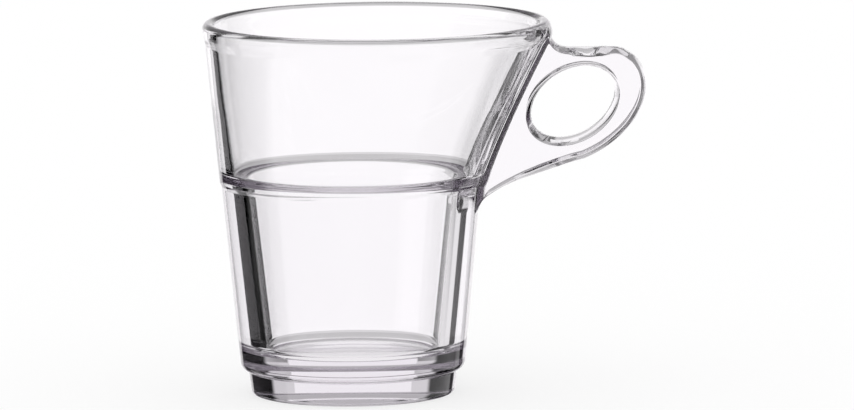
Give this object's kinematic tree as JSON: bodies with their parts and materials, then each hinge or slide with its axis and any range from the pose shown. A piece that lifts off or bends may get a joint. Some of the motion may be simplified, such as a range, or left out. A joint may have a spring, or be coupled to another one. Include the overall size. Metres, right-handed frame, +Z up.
{
  "type": "glass coffee cup",
  "caption": "Stackable clear glass coffee cup: round foot, thick lower bowl, inner ledge, upper bowl leaning towards a flat ring handle with an oval finger hole.",
  "frame": {"origin": "middle of the whole cup's footprint box, on the table", "axes": "+X towards the handle, +Z up; the XZ plane is the cup's mirror plane"},
  "size_m": [0.1092, 0.0856, 0.0923],
  "materials": {
    "clear_glass": "clear, fire-polished"
  },
  "bodies": {
    "root": {"cup_body": "clear_glass", "handle": "clear_glass"}
  },
  "joints": []
}
